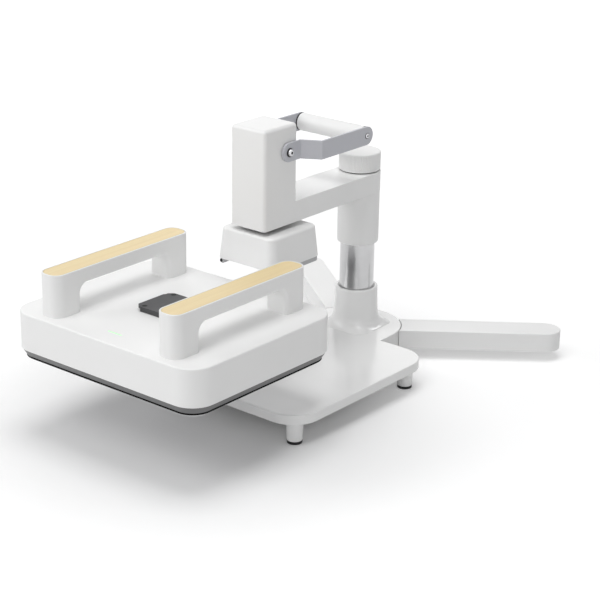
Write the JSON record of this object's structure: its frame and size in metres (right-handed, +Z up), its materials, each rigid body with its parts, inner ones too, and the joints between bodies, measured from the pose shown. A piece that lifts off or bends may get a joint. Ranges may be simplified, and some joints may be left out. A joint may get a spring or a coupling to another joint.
{
  "type": "heat press with stand",
  "caption": "Flat rectangular heat press with two wood-topped arch handles, lifted off a swing-arm press stand with base plate, chrome column, pull lever and fold-back rear legs.",
  "frame": {"origin": "On the floor, on the axis of the column, under the rubber pad below the hub.", "axes": "+Z is up. +Y runs from the user to the back, so the head and the press lie at -Y of the column. +X is the user's right. The part is symmetric left to right but for the leg links' heights and the power inlet."},
  "size_m": [0.4956, 0.7121, 0.3885],
  "materials": {
    "white_paint": "smooth semi-gloss white paint",
    "white_plastic": "smooth satin white plastic",
    "rubber_pad": "matte black rubber",
    "black_plastic": "matte black plastic",
    "steel": "plain machined steel",
    "bright_steel": "polished chrome",
    "grey_lever": "satin grey paint",
    "grey_plastic": "matte grey heat-proof plastic",
    "platen_metal": "coated flat aluminium",
    "heating_film": "amber film",
    "insulation": "pale fibre board",
    "board": "green circuit board",
    "status_green": "pale green translucent plastic",
    "bracket_metal": "matte black paint",
    "dark_screw": "black oxide",
    "wood": "light bamboo, satin"
  },
  "bodies": {
    "root": {"base_casting": "white_paint", "base_feet": "white_plastic", "foot_pads": "rubber_pad", "hub_cover": "white_paint", "leg_hinge_pin": "steel", "hub_screws": "steel", "column_tube": "bright_steel", "lift_nut": "steel"},
    "leg_right": {"leg_right": "white_paint", "leg_link_right": "steel", "leg_floor_right": "white_paint", "leg_screws_right": "steel"},
    "leg_left": {"leg_left": "white_paint", "leg_link_left": "steel", "leg_floor_left": "white_paint", "leg_screws_left": "steel"},
    "lift_carriage": {"guide_bush": "black_plastic", "thrust_bearing": "steel"},
    "knob": {"height_knob": "white_plastic", "lift_screw": "steel", "knob_washer": "black_plastic"},
    "arm": {"arm_casting": "white_paint", "arm_cover": "white_paint", "head_floor": "black_plastic", "plunger_bush": "black_plastic", "axle_bushes": "black_plastic", "head_screws": "steel", "return_spring": "steel"},
    "lever": {"lever_axle": "steel", "lever_cam": "steel", "lever_plate_right": "grey_lever", "lever_plate_left": "grey_lever", "grip_tube": "white_plastic", "grip_rod": "steel", "grip_washers": "black_plastic", "lever_screws": "bright_steel"},
    "dock": {"plunger": "steel", "cam_roller": "bright_steel", "dock_cover": "white_plastic", "dock_plate": "steel", "dock_rails": "grey_plastic", "catch_studs": "black_plastic", "dock_screws": "steel"},
    "press": {"press_shell": "white_plastic", "heat_rim": "grey_plastic", "platen_seal": "rubber_pad", "heated_platen": "platen_metal", "heating_film": "heating_film", "insulation_board": "insulation", "platen_posts": "steel", "control_board": "board", "status_light": "status_green", "dock_bracket": "bracket_metal", "bracket_screws": "dark_screw", "handle_left": "white_plastic", "handle_right": "white_plastic", "inlay_left": "wood", "inlay_right": "wood", "power_inlet": "black_plastic", "handle_screws": "steel"}
  },
  "joints": [
    {"name": "column_lift", "type": "slide", "parent": "root", "child": "lift_carriage", "axis": [0, 0, 1], "range_m": [-0.063, 0.008]},
    {"name": "arm_swing", "type": "hinge", "parent": "lift_carriage", "child": "arm", "pos_m": [0, 0, 0.25], "axis": [0, 0, 1], "range_deg": [-90, 90]},
    {"name": "knob_turn", "type": "hinge", "parent": "lift_carriage", "child": "knob", "pos_m": [0, 0, 0.28], "axis": [0, 0, 1], "range_deg": [-2280, 300]},
    {"name": "plunger_press", "type": "slide", "parent": "arm", "child": "dock", "axis": [0, 0, -1], "range_m": [0, 0.014], "stiffness_N_per_m": 6000, "springref_m": -0.02, "deforming": ["return_spring"]},
    {"name": "lever_swing", "type": "hinge", "parent": "arm", "child": "lever", "pos_m": [0, -0.1984, 0.352], "axis": [1, 0, 0], "range_deg": [0, 165]},
    {"name": "press_dock", "type": "slide", "parent": "dock", "child": "press", "axis": [0, 0.9954, 0.0954], "range_m": [0, 0.18967]},
    {"name": "leg_fold_right", "type": "hinge", "parent": "root", "child": "leg_right", "pos_m": [0, -0.0065, 0.03], "axis": [0, 0, 1], "range_deg": [0, 31]},
    {"name": "leg_fold_left", "type": "hinge", "parent": "root", "child": "leg_left", "pos_m": [0, -0.0065, 0.03], "axis": [0, 0, -1], "range_deg": [0, 31]}
  ],
  "couplings": [
    {"joint": "knob_turn", "follows": "column_lift", "rad_per_m": 628.3},
    {"joint": "plunger_press", "follows": "lever_swing", "m_per_rad": 0.00486}
  ]
}
